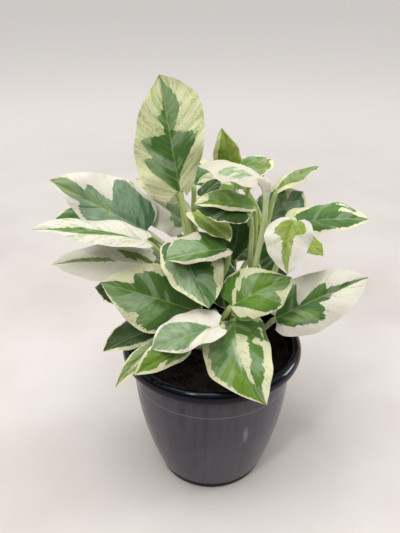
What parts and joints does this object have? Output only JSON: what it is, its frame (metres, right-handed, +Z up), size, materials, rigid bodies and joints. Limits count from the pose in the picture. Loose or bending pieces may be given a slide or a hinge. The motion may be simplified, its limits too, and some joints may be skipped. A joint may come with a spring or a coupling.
{
  "type": "potted houseplant",
  "caption": "Bushy potted scindapsus: white and green variegated leaves on short stems, planted in a tapered plain black nursery pot with a rolled rim.",
  "frame": {"origin": "centre of the pot's underside, where it stands", "axes": "+Z up; the plant's open front, with the leaf that hangs over the rim, looks along -Y"},
  "size_m": [0.219, 0.1771, 0.291],
  "materials": {
    "pot_plastic": "charcoal moulded plastic, satin, with faint dusty vertical streaks and a glossier rim",
    "potting_mix": "dark moist peat and bark crumbs, matt",
    "stem": "smooth yellow-green stem, satin",
    "leaf": "waxy leaf, satin, green patches on cream white"
  },
  "bodies": {
    "root": {"leaf_back_1": "leaf", "leaf_back_10": "leaf", "leaf_back_11": "leaf", "leaf_back_12": "leaf", "leaf_back_13": "leaf", "leaf_back_14": "leaf", "leaf_back_2": "leaf", "leaf_back_3": "leaf", "leaf_back_4": "leaf", "leaf_back_5": "leaf", "leaf_back_6": "leaf", "leaf_back_7": "leaf", "leaf_back_8": "leaf", "leaf_back_9": "leaf", "leaf_blue": "leaf", "leaf_bright": "leaf", "leaf_bright_below": "leaf", "leaf_centre": "leaf", "leaf_centre_small": "leaf", "leaf_centre_upper": "leaf", "leaf_front": "leaf", "leaf_front_left": "leaf", "leaf_inner_centre": "leaf", "leaf_inner_dark": "leaf", "leaf_inner_right": "leaf", "leaf_left": "leaf", "leaf_left_back": "leaf", "leaf_left_inner": "leaf", "leaf_left_low": "leaf", "leaf_low_left": "leaf", "leaf_lower_left": "leaf", "leaf_lower_left_behind": "leaf", "leaf_over_rim_back": "leaf", "leaf_over_rim_left": "leaf", "leaf_right": "leaf", "leaf_right_centre": "leaf", "leaf_right_hanging": "leaf", "leaf_right_inner": "leaf", "leaf_right_narrow": "leaf", "leaf_right_upper": "leaf", "leaf_small_dark": "leaf", "leaf_small_upright": "leaf", "leaf_top": "leaf", "leaf_top_behind": "leaf", "leaf_upper_back": "leaf", "leaf_upper_left": "leaf", "leaf_upper_right_small": "leaf", "leaf_white": "leaf", "pot": "pot_plastic", "soil": "potting_mix", "stem_back_left": "stem", "stem_back_right": "stem", "stem_front": "stem", "stem_left": "stem", "stem_right": "stem"}
  },
  "joints": []
}
